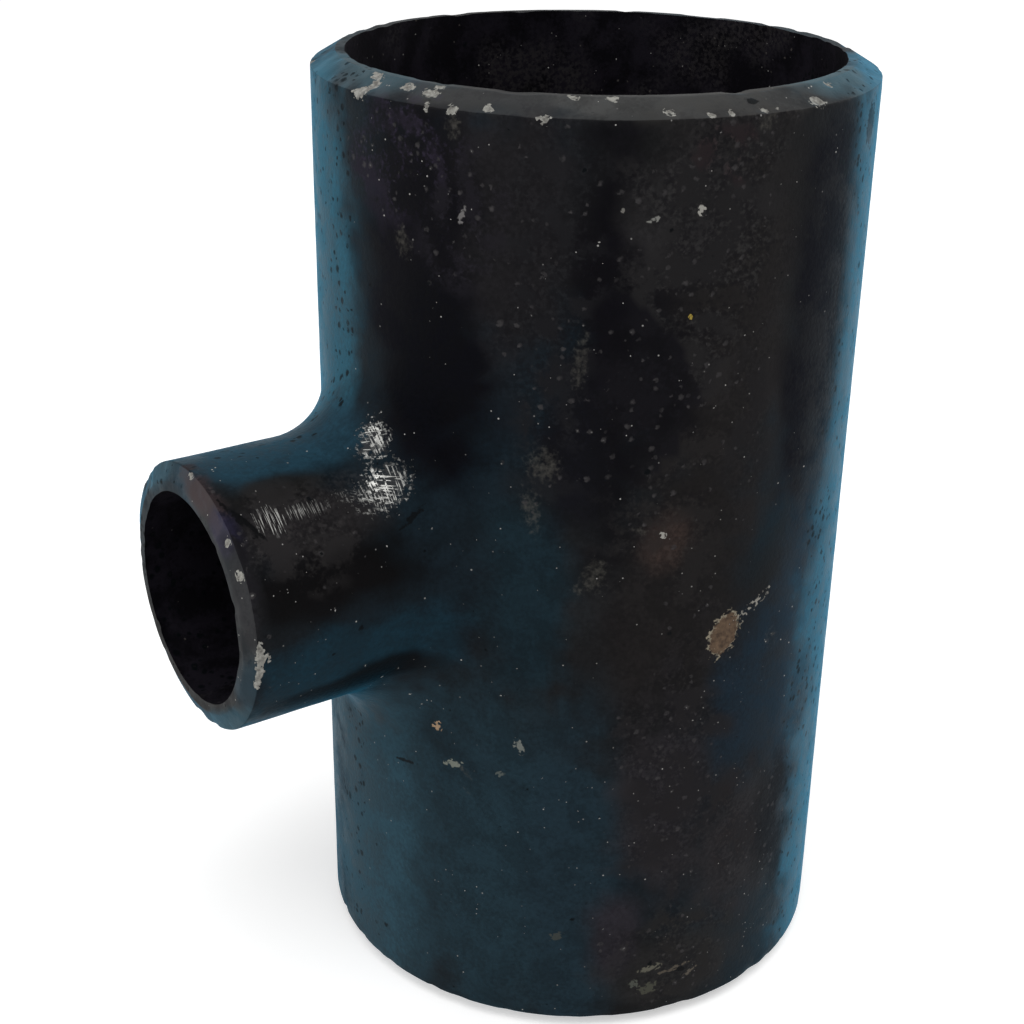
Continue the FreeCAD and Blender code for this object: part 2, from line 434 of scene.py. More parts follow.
# The coat of paint lies in broad hazes, thicker, thinner or dirtier, with painted light on it: the
# teal and blue hazes, brightest in bands down both flanks, are painted reflection of a blue-green
# surrounding, and black strips under the branch are painted shade. So its colours are put on the
# mesh: place, half sizes, colour, strength. The rest of the paint's looks are in its nodes.


def tone(red, green, blue):
    """A colour from its 8-bit values as they look on a screen, by the sRGB curve."""
    def linear(value):
        value /= 255
        return value / 12.92 if value <= 0.04045 else ((value + 0.055) / 1.055) ** 2.4

    return linear(red), linear(green), linear(blue), 1.0


def waves_at(place, waves):
    """Noise at a place in millimetres, from waves that each have a width and a strength."""
    return sum(strength * noise.noise(place / width) for width, strength in waves)


BLUE_BLACK = Vector(tone(17, 28, 35))
BROWN_BLACK = Vector(tone(22, 22, 23))
HAZES_AND_PAINTED_LIGHT = [
    # Painted reflection: teal hazes all round the run.
    (at_run(138, 116), (9, 24, 50), tone(23, 42, 51), 0.85),
    (at_run(146, 40), (9, 24, 44), tone(23, 40, 48), 0.85),
    (at_run(-18, 112), (9, 24, 52), tone(23, 42, 51), 0.85),
    (at_run(-24, 36), (9, 22, 44), tone(24, 42, 50), 0.8),
    (at_run(-70, 70), (9, 10, 40), tone(23, 38, 50), 0.9),
    # Painted reflection: bright blue bands down the left and right flanks.
    (at_run(-194, 118), (9, 12, 50), tone(38, 78, 94), 1.0),
    (at_run(-188, 66), (9, 9, 30), tone(38, 76, 92), 0.9),
    (at_run(-49, 130), (9, 15.5, 44), tone(42, 86, 106), 1.0),
    (at_run(-52, 72), (9, 16, 36), tone(42, 86, 106), 1.0),
    (at_run(-52, 22), (9, 16, 28), tone(42, 86, 106), 1.0),
    # Painted reflection: teal hazes low on the near side.
    (at_run(-176, 32), (9, 19, 40), tone(38, 62, 73), 0.95),
    (at_run(-144, 28), (9, 17, 40), tone(28, 44, 52), 0.95),
    (at_run(-126, 30), (9, 9, 36), tone(26, 40, 48), 0.9),
    (at_run(-128, 84), (9, 8, 12), tone(28, 30, 32), 0.8),
    (at_run(-152, 138), (9, 11, 18), tone(17, 15, 19), 0.9),
    # Painted reflection: a teal haze.
    (at_run(-138, 82), (9, 8, 18), tone(20, 34, 41), 1.0),
    (at_run(-142, 140), (9, 11, 26), tone(27, 26, 28), 0.95),
    (at_run(-102, 124), (9, 15, 38), tone(31, 29, 29), 0.95),
    (at_run(-108, 84), (9, 13, 26), tone(27, 25, 25), 0.9),
    (at_run(-110, 91), (6, 4.6, 5.2), tone(60, 49, 45), 0.75),
    (at_run(-107, 46), (9, 9, 18), tone(39, 37, 40), 0.9),
    (at_run(-88, 32), (9, 10, 14), tone(38, 36, 38), 1.0),
    (at_run(-80, 33), (9, 4, 11), tone(14, 12, 14), 1.0),
    (at_run(-74, 24), (9, 2.6, 7), tone(12, 16, 20), 0.9),
    (at_run(-102, 11), (9, 12, 8), tone(36, 35, 35), 0.9),
    (at_run(-117, 20), (9, 5, 9), tone(38, 35, 40), 0.8),
    # Painted reflection: a teal haze.
    (at_run(-88, 60), (9, 8, 16), tone(20, 34, 45), 0.9),
    (at_run(-162, 132), (9, 10, 34), tone(7, 6, 11), 1.0),
    (at_run(-156, 114), (9, 10, 18), tone(4, 4, 8), 1.0),
    (at_run(-122, 122), (9, 6.5, 38), tone(7, 6, 10), 1.0),
    (at_run(-113, 116), (9, 7, 14), tone(10, 9, 13), 0.95),
    (at_run(-75.5, 126), (9, 7.8, 36), tone(3, 2, 7), 1.0),
    (at_run(-108, 142), (9, 10, 11), tone(37, 36, 37), 0.9),
    (at_run(-129, 106), (9, 5, 14), tone(12, 12, 17), 0.9),
    (at_run(-150, 157), (14, 20, 3.2), tone(38, 38, 39), 1.0),
    (at_run(-112, 157), (14, 22, 3.2), tone(43, 43, 43), 1.0),
    # Painted reflection: teal on the top bevel at the left and right flanks.
    (at_run(-180, 157), (14, 13, 3.2), tone(43, 60, 67), 1.0),
    (at_run(-68, 157), (14, 11, 3.4), tone(50, 70, 78), 1.0),
    (at_run(-20, 95), (9, 16, 30), tone(30, 28, 27), 0.7),
    (at_run(35, 50), (9, 18, 26), tone(10, 10, 14), 0.8),
    (at_run(80, 110), (9, 16, 34), tone(32, 29, 28), 0.7),
    (at_run(130, 60), (9, 14, 30), tone(9, 9, 13), 0.8),
    # Painted reflection: a teal band along the top of the branch.
    (at_branch(58, -4), (22, 7, 6), tone(28, 54, 67), 1.0),
    # Painted reflection: a grey band on the upper side of the branch.
    (at_branch(60, -45), (11, 7, 6), tone(38, 36, 37), 0.9),
    (at_branch(62, -26), (8, 3, 5), tone(24, 23, 22), 0.8),
    (at_branch(60, -70), (17, 6, 6), tone(9, 8, 9), 1.0),
    # Painted reflection: a teal band on the lower side of the branch.
    (at_branch(56, -108), (22, 7, 6), tone(20, 42, 53), 1.0),
    # Painted shade: black strips along the underside of the branch, near the run.
    (at_branch(56, -124), (13, 2.6, 5), tone(5, 6, 8), 1.0),
    (at_branch(50, -120), (9, 3.2, 6), tone(5, 6, 8), 1.0),
    (at_branch(73.4, -14), (2.5, 4.5, 2.5), tone(44, 36, 38), 1.0),
    (at_branch(73.4, -38), (2.5, 4.0, 2.5), tone(33, 31, 48), 1.0),
    (at_branch(73.4, -70), (2.5, 8.0, 2.5), tone(32, 32, 34), 1.0),
    # Painted reflection: teal on the branch's bevel, in two places.
    (at_branch(73.4, 30), (2.5, 7.0, 2.5), tone(28, 52, 62), 1.0),
    (at_branch(73.4, -150), (2.5, 12.0, 2.5), tone(30, 54, 64), 1.0),
]
BROWNING = ((26.0, 1.6),)
HAZE_WAVES = ((8.0, 0.34), (2.6, 0.2))
HAZE_REACH = 1.9
HAZE_END = 1.3
HAZE_FADE = 0.75
coat_and_painted_light = wall.verts.layers.float_color.new("coat_and_painted_light")
for vert in wall.verts:
    share = 0.5 + waves_at(vert.co / MM, BROWNING)
    vert[coat_and_painted_light] = BLUE_BLACK.lerp(BROWN_BLACK, within(share))
for where, size, colour, strength in HAZES_AND_PAINTED_LIGHT:
    for index, place, out in around_mark(where, size, HAZE_REACH):
        out += waves_at(place, HAZE_WAVES)
        cover = strength * within((HAZE_END - out) / HAZE_FADE)
        eased = cover * cover * (3 - 2 * cover)
        vert = wall.verts[index]
        vert[coat_and_painted_light] = Vector(vert[coat_and_painted_light]).lerp(Vector(colour), eased)

# Blotches: the coat dried in pale islands a few millimetres wide. Swirls draw their edges about,
# by a noise for each direction, taken from places well apart.
SWIRL_WIDTH = 11.0
SWIRL_PULL = 5.0
SWIRL_SHIFTS = (0.0, 31.7, 67.3)
ISLAND_WAVES = ((6.0, 1.0), (2.7, 0.8))
blotched = wall.verts.layers.float.new("blotched")
for vert in wall.verts:
    place = vert.co / MM
    swirl = [noise.noise(place / SWIRL_WIDTH + Vector((shift, 0, 0))) for shift in SWIRL_SHIFTS]
    swirled = place + SWIRL_PULL * Vector(swirl)
    vert[blotched] = within(0.5 + 0.8 * waves_at(swirled, ISLAND_WAVES))

# Dust lies in drifts. Two flanks are clean: they have no dust, and small dark pits instead.
DRIFT_WAVES = ((15.0, 1.0), (6.0, 0.6))
CLEAN_FLANKS = ((135, 181), (-74, -10))
CLEAN_LEVEL = -0.3
CLEAN_CHANGE = 0.15
drift = wall.verts.layers.float.new("drift")
for vert in wall.verts:
    place = vert.co / MM
    vert[drift] = within(0.5 + 0.9 * waves_at(place, DRIFT_WAVES))
    around = math.degrees(math.atan2(place.y, place.x))
    if any(start < around < finish for start, finish in CLEAN_FLANKS):
        vert[drift] = CLEAN_LEVEL + CLEAN_CHANGE * vert[drift]

# Zones of the coat with a crust of scale and grit under it, each with its colour and strength.
CRUSTS = [
    (at_run(-164, 147), (9, 11, 11), tone(42, 37, 50), 0.95),
    (at_run(-151, 139), (9, 9, 11), tone(34, 32, 38), 0.75),
    (at_run(-134, 128), (9, 8, 28), tone(31, 31, 33), 0.8),
    (at_run(-104, 136), (9, 12.5, 22), tone(45, 44, 44), 1.0),
    (at_run(-110, 98), (9, 10, 20), tone(42, 40, 39), 0.55),
    (at_run(-94, 114), (9, 5, 24), tone(34, 33, 34), 0.6),
    (at_run(-103, 147), (9, 8, 8), tone(52, 44, 45), 0.95),
    (at_run(-116, 114), (9, 9, 16), tone(21, 20, 24), 0.9),
    (at_run(-105, 52), (9, 10, 26), tone(41, 39, 40), 0.8),
    (at_run(-88, 34), (9, 7, 16), tone(42, 38, 38), 0.9),
    (at_run(-102, 13), (9, 13, 11), tone(46, 44, 42), 0.8),
    (at_run(-77, 34), (9, 5, 14), tone(15, 13, 14), 1.0),
    (at_run(-150, 155), (5, 14, 3), tone(38, 38, 37), 0.7),
    (at_run(-100, 155), (5, 16, 3), tone(54, 52, 50), 0.7),
    (at_branch(60, -46), (12, 8, 8), tone(52, 50, 50), 0.7),
    (at_branch(73.4, -16), (3, 7, 3), tone(62, 52, 53), 0.9),
    (at_branch(73.4, -64), (3, 11, 3), tone(30, 29, 33), 1.0),
    (at_branch(73.4, -110), (3, 7, 3), tone(26, 40, 48), 0.9),
    (at_run(40, 110), (9, 22, 34), tone(46, 43, 42), 0.8),
    (at_run(150, 50), (9, 20, 34), tone(40, 42, 46), 0.7),
    (at_run(-20, 40), (9, 16, 26), tone(50, 44, 41), 0.7),
]
CRUST_WAVES = ((7.0, 0.5), (2.4, 0.25))
CRUST_END = 1.15
CRUST_FADE = 0.6
crusted = wall.verts.layers.float.new("crusted")
crust = wall.verts.layers.float_color.new("crust")
for vert in wall.verts:
    vert[crust] = vert[coat_and_painted_light]
for where, size, colour, strength in CRUSTS:
    for index, place, out in around_mark(where, size):
        vert = wall.verts[index]
        out += waves_at(place, CRUST_WAVES)
        zone = strength * within((CRUST_END - out) / CRUST_FADE)
        if zone > vert[crusted]:
            vert[crusted], vert[crust] = zone, colour

# Pale smears rubbed on the coat, and dark marks: cracks in it, a knock, and old scratches.
SMEARS = [
    (at_run(-136.5, 96.2, 8), (4, 1.8, 4.6)), (at_run(-134.5, 103.4), (4, 3.0, 3.6)),
    (at_run(-128, 120, -5), (4, 1.2, 6)), (at_run(-124, 86, -20), (4, 2.2, 3.4)),
    (at_run(-127, 83.4, 60), (4, 0.8, 1.6)), (at_run(-115, 93, 75), (4, 0.7, 1.8)),
    (at_run(-150, 48, 4), (4, 0.8, 4.5)), (at_run(-83, 70), (4, 1.6, 2.4)),
    (at_run(-164, 134, 20), (4, 2.0, 3.0)), (at_run(-152.5, 151.5), (4, 1.5, 2.4)),
    (at_run(-95, 152.6), (4, 2.0, 1.6)), (at_run(173, 128, 35), (4, 1.0, 3.4)),
    (at_run(60, 70, 20), (4, 2.0, 7)), (at_run(-10, 60, -10), (4, 1.5, 6)),
]
DARKS = [
    (at_branch(70.4, -36.5, -68), (5.4, 0.6, 2)), (at_run(-59.5, 148.5), (3, 2.2, 3.6)),
    (at_run(-96.2, 155.1), (2, 1.2, 0.4)), (at_run(-100.5, 9.6, 78), (2, 0.5, 1.8)),
    (at_branch(44, -52, 30), (4.0, 0.6, 3)), (at_run(112, 84, 25), (3, 0.7, 4.0)),
]
smeared = wall.verts.layers.float.new("smeared")
darkened = wall.verts.layers.float.new("darkened")
note_marks(smeared, SMEARS)
note_marks(darkened, DARKS)

# The coat is dull in the bores, and on the narrow flat faces at the ends.
ROOT_BAND = 1.0 * MM


def machined_or_bore(face):
    """Whether a face is in a bore or on one of the narrow flat root faces at the ends."""
    centre = face.calc_center_median()
    run_end = min(centre.z, RUN_LENGTH - centre.z) < ROOT_BAND
    branch_end = -centre.x > BRANCH_REACH - ROOT_BAND
    return (all(vert[in_bore] > 0.5 for vert in face.verts)
            or run_end and math.hypot(centre.x, centre.y) < run_root
            or branch_end and math.hypot(centre.y, centre.z - BRANCH_HEIGHT) < branch_root)


for face in wall.faces:
    face.smooth = True
    face.material_index = 1 if machined_or_bore(face) else 0
for edge in wall.edges:
    edge.smooth = edge.calc_face_angle(0) < SHARP_ANGLE
tee_mesh = bpy.data.meshes.new("tee_wall")
wall.to_mesh(tee_mesh)
wall.free()
tee_wall = bpy.data.objects.new("tee_wall", tee_mesh)
bpy.context.collection.objects.link(tee_wall)
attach(tee_wall, "root")
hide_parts("tee_body")

# The paint on it. One dipped coat of black, satin and a little blue at a glancing angle, with
# hazes and dull patches where it dried unevenly, painted teal reflections and painted shade, dirt,
# grain, pits, and metal where it is worn.


def put(tree, kind, inputs=None, **settings):
    """A node with its settings, and its inputs linked or set."""
    node = tree.nodes.new(kind)
    for name, value in settings.items():
        setattr(node, name, value)
    for name, value in (inputs or {}).items():
        if isinstance(value, bpy.types.NodeSocket):
            tree.links.new(value, node.inputs[name])
        else:
            node.inputs[name].default_value = value
    return node


def new_group(name, inputs, output):
    """An empty node group with named inputs and one output, a float."""
    tree = bpy.data.node_groups.new(name, "ShaderNodeTree")
    for label, kind in inputs:
        tree.interface.new_socket(name=label, in_out="INPUT", socket_type=kind)
    tree.interface.new_socket(name=output, in_out="OUTPUT", socket_type="NodeSocketFloat")
    return tree, tree.nodes.new("NodeGroupInput").outputs, tree.nodes.new("NodeGroupOutput")


FLOAT, VECTOR = "NodeSocketFloat", "NodeSocketVector"

# One mark on the skin: a ragged oval at a place, stretched along one direction there.
mark, given, result = new_group(
    "mark", [("Place", VECTOR), ("Centre", VECTOR), ("Along", VECTOR), ("Squeeze", FLOAT),
             ("Width", FLOAT), ("Noise", FLOAT), ("Ragged", FLOAT), ("Edge", FLOAT)], "Mask")
offset = put(mark, "ShaderNodeVectorMath", {0: given["Place"], 1: given["Centre"]},
             operation="SUBTRACT")
lengthwise = put(mark, "ShaderNodeVectorMath", {0: offset.outputs[0], 1: given["Along"]},
                 operation="DOT_PRODUCT")
shorter = put(mark, "ShaderNodeMath", {0: lengthwise.outputs["Value"], 1: given["Squeeze"]},
              operation="MULTIPLY")
drawn_in = put(mark, "ShaderNodeVectorMath", {0: given["Along"], "Scale": shorter.outputs[0]},
               operation="SCALE")
local = put(mark, "ShaderNodeVectorMath", {0: offset.outputs[0], 1: drawn_in.outputs[0]},
            operation="ADD")
reach = put(mark, "ShaderNodeVectorMath", {0: local.outputs[0]}, operation="LENGTH")
share = put(mark, "ShaderNodeMath", {0: reach.outputs["Value"], 1: given["Width"]},
            operation="DIVIDE")
torn = put(mark, "ShaderNodeMath", {0: given["Noise"], 1: given["Ragged"], 2: share.outputs[0]},
           operation="MULTIPLY_ADD")
inner = put(mark, "ShaderNodeMath", {0: 1.0, 1: given["Edge"]}, operation="SUBTRACT")
fade = put(mark, "ShaderNodeMapRange", {"Value": torn.outputs[0], "From Min": inner.outputs[0],
                                        "From Max": 1.0, "To Min": 1.0, "To Max": 0.0})
mark.links.new(fade.outputs["Result"], result.inputs["Mask"])

# Grains: round specks of dust, scale or pits, one to a cell, some of them left out by chance.
# The smallest is a part of the largest, and each is full as far out as a part of its radius.
SMALLEST_GRAIN = 0.3
FULL_GRAIN = 0.55
grains, given, result = new_group(
    "grains", [("Distance", FLOAT), ("Luck", FLOAT), ("Size", FLOAT), ("Chance", FLOAT),
               ("Share", FLOAT)], "Mask")
large = put(grains, "ShaderNodeMath",
            {0: given["Luck"], 1: 1.0 - SMALLEST_GRAIN, 2: SMALLEST_GRAIN},
            operation="MULTIPLY_ADD")
edge = put(grains, "ShaderNodeMath", {0: large.outputs[0], 1: given["Size"]}, operation="MULTIPLY")
start = put(grains, "ShaderNodeMath", {0: edge.outputs[0], 1: FULL_GRAIN},
            operation="MULTIPLY")
grain = put(grains, "ShaderNodeMapRange", {"Value": given["Distance"],
                                           "From Min": start.outputs[0],
                                           "From Max": edge.outputs[0],
                                           "To Min": 1.0, "To Max": 0.0})
chosen = put(grains, "ShaderNodeMath", {0: given["Chance"], 1: given["Share"]},
             operation="LESS_THAN")
both = put(grains, "ShaderNodeMath", {0: grain.outputs["Result"], 1: chosen.outputs[0]},
           operation="MULTIPLY")
grains.links.new(both.outputs[0], result.inputs["Mask"])

# Strokes: close parallel lines rubbed through the paint, as wide and long as Size says.
STROKE_EDGE = 0.06
strokes, given, result = new_group(
    "strokes", [("Place", VECTOR), ("Turn", VECTOR), ("Size", VECTOR), ("Middle", FLOAT)], "Mask")
local = put(strokes, "ShaderNodeMapping", {"Vector": given["Place"], "Rotation": given["Turn"],
                                           "Scale": given["Size"]}, vector_type="TEXTURE")
lines = put(strokes, "ShaderNodeTexNoise", {"Vector": local.outputs["Vector"], "Scale": 1.0,
                                            "Detail": 0.0})
full = put(strokes, "ShaderNodeMath", {0: given["Middle"], 1: STROKE_EDGE}, operation="ADD")
crisp = put(strokes, "ShaderNodeMapRange", {"Value": lines.outputs["Fac"],
                                            "From Min": given["Middle"],
                                            "From Max": full.outputs[0]})
strokes.links.new(crisp.outputs["Result"], result.inputs["Mask"])

paint = bpy.data.materials.new("black_paint_on_steel")
paint.use_nodes = True
tree = paint.node_tree
shader = tree.nodes["Principled BSDF"]
coordinates = put(tree, "ShaderNodeTexCoord")
place = put(tree, "ShaderNodeVectorMath", {0: coordinates.outputs["Object"], "Scale": 1 / MM},
            operation="SCALE").outputs[0]


def use(group, **inputs):
    """One of the groups above, placed in the paint. Gives its output."""
    return put(tree, "ShaderNodeGroup", inputs, node_tree=group).outputs[0]


def work(operation, first, second, third=0.0):
    """A sum of two or three values."""
    return put(tree, "ShaderNodeMath", {0: first, 1: second, 2: third},
               operation=operation).outputs[0]


def times(first, second):
    return work("MULTIPLY", first, second)


def most(masks):
    """The strongest of several masks."""
    strongest = masks[0]
    for mask in masks[1:]:
        strongest = work("MAXIMUM", strongest, mask)
    return strongest


def lay(under, over, mask):
    """One colour laid over another through a mask."""
    return put(tree, "ShaderNodeMix", {0: mask, 6: under, 7: over}, data_type="RGBA").outputs[2]


def shade(colour, amount):
    """A colour made darker or lighter, by a plain amount or one for each of its channels."""
    return put(tree, "ShaderNodeMix", {0: 1.0, 6: colour, 7: amount}, data_type="RGBA",
               blend_type="MULTIPLY").outputs[2]


def grade(under, over, mask):
    """One plain value laid over another through a mask."""
    return put(tree, "ShaderNodeMix", {0: mask, 2: under, 3: over}).outputs[0]


def attribute(name, output="Fac"):
    """A value or a colour written on the mesh."""
    return put(tree, "ShaderNodeAttribute", attribute_name=name).outputs[output]


def cloud_of(size, detail):
    """Cloudy noise of a size in millimetres, about 0.5 in the middle."""
    return put(tree, "ShaderNodeTexNoise", {"Vector": place, "Scale": 1.0 / size,
                                            "Detail": detail, "Roughness": 0.6})


def sharpen(value, middle, spread):
    """A value drawn out to run from 0 to 1 on either side of its middle."""
    return put(tree, "ShaderNodeMapRange", {"Value": value, "From Min": middle - spread,
                                            "From Max": middle + spread}).outputs["Result"]


def ragged_by(cloud, strength):
    """A cloud of a given strength, about 0 in its middle."""
    return times(work("SUBTRACT", cloud, 0.5), strength)


# Fine grain, cells about as wide as the larger specks, and shards as small as a flake's edge.
GRAIN_SIZE = 0.75
CELL_SIZE = 1.5
CELL_SHAKE = (0.9, -0.7, 0.8)
SHARD_SIZE = 0.5
fine = cloud_of(GRAIN_SIZE, 2.0).outputs["Fac"]
shaken = put(tree, "ShaderNodeVectorMath", {0: CELL_SHAKE, 1: fine, 2: place},
             operation="MULTIPLY_ADD")
cells = put(tree, "ShaderNodeTexVoronoi", {"Vector": shaken.outputs[0], "Scale": 1 / CELL_SIZE})
luck = put(tree, "ShaderNodeSeparateColor", {0: cells.outputs["Color"]}).outputs
shards = put(tree, "ShaderNodeTexVoronoi", {"Vector": place, "Scale": 1 / SHARD_SIZE})
shard = put(tree, "ShaderNodeSeparateColor", {0: shards.outputs["Color"]}).outputs
blotch = attribute("blotched")
torn_fine = work("ADD", ragged_by(fine, 0.9), ragged_by(shard[0], 0.25))
torn_flake = work("ADD", ragged_by(fine, 0.3), ragged_by(shard[0], 0.8))
bore = sharpen(attribute("in_bore"), 0.95, 0.04)
bare_end = attribute("on_end")
drifted = attribute("drift")


def marked(name, torn_by, ragged, edge):
    """The mask of marks written on the mesh, with a ragged edge."""
    torn = work("MULTIPLY_ADD", torn_by, ragged, attribute(name))
    return put(tree, "ShaderNodeMapRange", {"Value": torn, "From Max": edge},
               interpolation_type="SMOOTHSTEP").outputs["Result"]


def spot(where, width, length, torn, ragged, edge):
    """The mask of one mark, lying along its own frame's last axis, from its half sizes."""
    centre, turn = where
    along = turn.to_matrix() @ Vector((0, 0, 1))
    return use(mark, Place=place, Centre=centre, Along=along, Squeeze=width / length - 1.0,
               Width=width, Noise=torn, Ragged=ragged, Edge=edge)


def grains_of(size, chance, share):
    """Grains up to a size, as a part of their spacing, in a share of the cells."""
    return use(grains, Distance=cells.outputs["Distance"], Luck=luck[1], Size=size,
               Chance=chance, Share=share)


def at_branch_skin(along, around, twist=0.0):
    """A place on the branch, in a frame whose last axis lies along the branch."""
    centre, turn = at_branch(along, around, twist)
    return centre, (turn.to_matrix() @ Matrix.Rotation(math.radians(90), 3, "Y")).to_euler()


# The coat, with mottling and grain all over it.
cloudy = sharpen(work("ADD", blotch, torn_fine), 0.5, 0.3)
grainy = sharpen(fine, 0.5, 0.22)
brightness = times(work("MULTIPLY_ADD", cloudy, 0.3, 0.85),
                   work("MULTIPLY_ADD", grainy, 0.3, 0.85))
body = shade(attribute("coat_and_painted_light", "Color"), brightness)

# Crusts of scale and grit under the coat, in islands with grains about them.
CRUST_GAPS = tone(14, 13, 16)
GRIT = tone(62, 60, 61)
crust_zone = attribute("crusted")
island = times(crust_zone, sharpen(work("ADD", blotch, torn_fine), 0.56, 0.2))
body = lay(body, attribute("crust", "Color"), island)
flecks = sharpen(work("MULTIPLY_ADD", blotch, -0.6, torn_fine), -0.2, 0.12)
body = lay(CRUST_GAPS, body, grade(1.0, flecks, times(crust_zone, 0.6)))
grit = grains_of(0.4, luck[2], times(crust_zone, 0.6))
body = lay(body, GRIT, times(grit, work("MULTIPLY_ADD", grainy, 0.7, 0.2)))

# Pale rubbed smears.
RUBBED_GREY = tone(78, 76, 71)
smear = marked("smeared", torn_fine, 1.3, 0.9)
body = lay(body, RUBBED_GREY, times(smear, times(grainy, 0.55)))

# Bare ends: the coat is thin there, and grey steel shows through it.
THINNED = (2.2, 2.2, 2.2, 1.0)
DARK_STEEL = tone(44, 44, 43)
PALE_STEEL = tone(76, 77, 76)
END_SCALE = tone(36, 35, 36)
end_mask = sharpen(work("ADD", bare_end, ragged_by(fine, 0.5)), 0.5, 0.1)
end_colour = lay(DARK_STEEL, PALE_STEEL, cloudy)
end_colour = lay(end_colour, END_SCALE, times(grains_of(0.5, luck[2], 0.25), 0.7))
# The coat's colours, lightened, lie over the steel, so the painted teal reflections of the flanks
# show on the ends too.
end_colour = lay(end_colour, shade(attribute("coat_and_painted_light", "Color"), THINNED), 0.62)
end_colour = lay(end_colour, attribute("crust", "Color"), times(island, 0.6))
body = lay(body, end_colour, end_mask)

# The bores: thin dull paint over mill scale, with crusts of grey and brown.
BORE_BLACK = tone(9, 8, 12)
BORE_GREY = tone(22, 20, 26)
BORE_SCALE = tone(42, 40, 41)
BORE_GRIT = tone(74, 70, 68)
bore_colour = lay(BORE_BLACK, BORE_GREY, cloudy)
scaled = times(sharpen(drifted, 0.6, 0.2), sharpen(torn_fine, 0.02, 0.12))
bore_colour = lay(bore_colour, BORE_SCALE, times(scaled, 0.7))
bore_colour = lay(bore_colour, BORE_GRIT, times(grains_of(0.2, luck[2], 0.22), 0.7))
body = lay(body, bore_colour, bore)

# Chips, down to pale primer and grey steel.
CHIP_STEEL = tone(104, 102, 98)
CHIP_PRIMER = tone(152, 151, 145)
chip = marked("chipped", torn_flake, 0.7, 0.08)
chip_colour = lay(CHIP_STEEL, CHIP_PRIMER, sharpen(fine, 0.5, 0.15))
body = lay(body, chip_colour, chip)

# The largest bare place, tan with rust, with pale torn edges and a trail of flakes.
BROWN_RUST = tone(70, 58, 49)
TAN_RUST = tone(104, 86, 70)
TORN_EDGE = tone(140, 132, 116)
PALE_FLAKE = tone(136, 133, 126)
rusty_place = at_run(-96, 73.6, -22)
tan_core = spot(rusty_place, 2.5, 3.6, torn_fine, 0.7, 0.12)
tan_rim = spot(rusty_place, 2.8, 4.1, torn_fine, 1.0, 0.1)
tan_trail = spot(at_run(-88.6, 77.2, -60), 0.9, 4.2, torn_fine, 2.4, 0.3)
body = lay(body, TORN_EDGE, times(tan_rim, sharpen(shard[1], 0.3, 0.1)))
body = lay(body, lay(BROWN_RUST, TAN_RUST, grainy), tan_core)
body = lay(body, PALE_FLAKE, times(tan_trail, sharpen(shard[1], 0.66, 0.06)))

# Small single flakes and flecks: where each lies, its half sizes and its colour.
FLAKES = [
    (at_run(-156.4, 55.4, -30), 0.8, 1.0, tone(160, 135, 110)),
    (at_run(-152.8, 49.3, -80), 0.6, 1.7, tone(112, 116, 108)),
    (at_run(-138.0, 55.2, 20), 0.7, 1.2, tone(104, 108, 104)),
    (at_run(-141.9, 49.4, -60), 0.5, 0.9, tone(76, 82, 80)),
    (at_run(-129.5, 19.1, -70), 0.7, 1.2, tone(56, 60, 58)),
    (at_run(-107.0, 141.2, 10), 0.5, 0.75, tone(150, 148, 142)),
    (at_run(-115.9, 140.2, -80), 0.4, 0.8, tone(116, 116, 112)),
    (at_run(-121.4, 141.5), 0.3, 0.4, tone(104, 102, 98)),
    (at_run(-111.0, 92.2), 0.5, 0.6, tone(150, 148, 142)),
    (at_run(-107.9, 125.8), 0.35, 0.5, tone(150, 130, 60)),
    (at_run(-108.3, 11.4, -75), 0.7, 1.9, tone(92, 90, 80)),
    (at_run(-103.0, 10.4, -80), 0.4, 2.8, tone(80, 74, 66)),
    (at_run(-98.5, 8.8, -60), 0.4, 1.3, tone(86, 80, 72)),
    (at_run(-112.3, 8.6), 0.8, 0.9, tone(74, 76, 70)),
    (at_run(-108.6, 7.3, -80), 1.0, 1.8, tone(68, 68, 60)),
    (at_run(-150.8, 139.2, -20), 0.5, 1.3, tone(100, 98, 98)),
]
for where, width, length, colour in FLAKES:
    body = lay(body, colour, spot(where, width, length, torn_flake, 1.3, 0.25))

# Dark marks: those written on the mesh, a long crack beside the branch's rim, and a thin dark
# streak on the run just under the branch.
CRACK_BLACK = tone(6, 7, 8)
dark = most([marked("darkened", torn_fine, 1.2, 0.25),
             spot(at_branch_skin(69.6, -38.5, -62), 0.45, 7.0, torn_fine, 0.8, 0.25),
             spot(at_run(-165.2, 46.2, -82), 0.4, 3.2, torn_fine, 1.2, 0.4)])
body = lay(body, CRACK_BLACK, times(dark, 0.85))

# Metal rubbed bright on top of the branch and in its crotch. All of it is turned as the skin is
# at one place on the branch, and two sets of strokes cross in the crotch.
WORN_PLACE = (66, -40)
CROSSED = 60
SCUFF_TWISTS = (55, 25, 0)
WORN_GREY = tone(62, 61, 61)
BRIGHT_STEEL = tone(176, 176, 172)
strokes_turn = at_branch(*WORN_PLACE)[1]
crossed_turn = at_branch(*WORN_PLACE, CROSSED)[1]
steep, slanting, lying = (at_branch_skin(*WORN_PLACE, twist)[1] for twist in SCUFF_TWISTS)
rubbed_place = most([
    spot((at_branch(66.0, -39.5)[0], lying), 2.5, 2.9, torn_fine, 1.2, 0.5),
    times(spot((at_branch(61.0, -39.0)[0], lying), 1.5, 4.6, torn_fine, 1.8, 0.8), 0.7),
])
rubbed = times(rubbed_place, use(strokes, Place=place, Turn=strokes_turn, Size=(0.2, 3.4, 3.4),
                                 Middle=0.54))
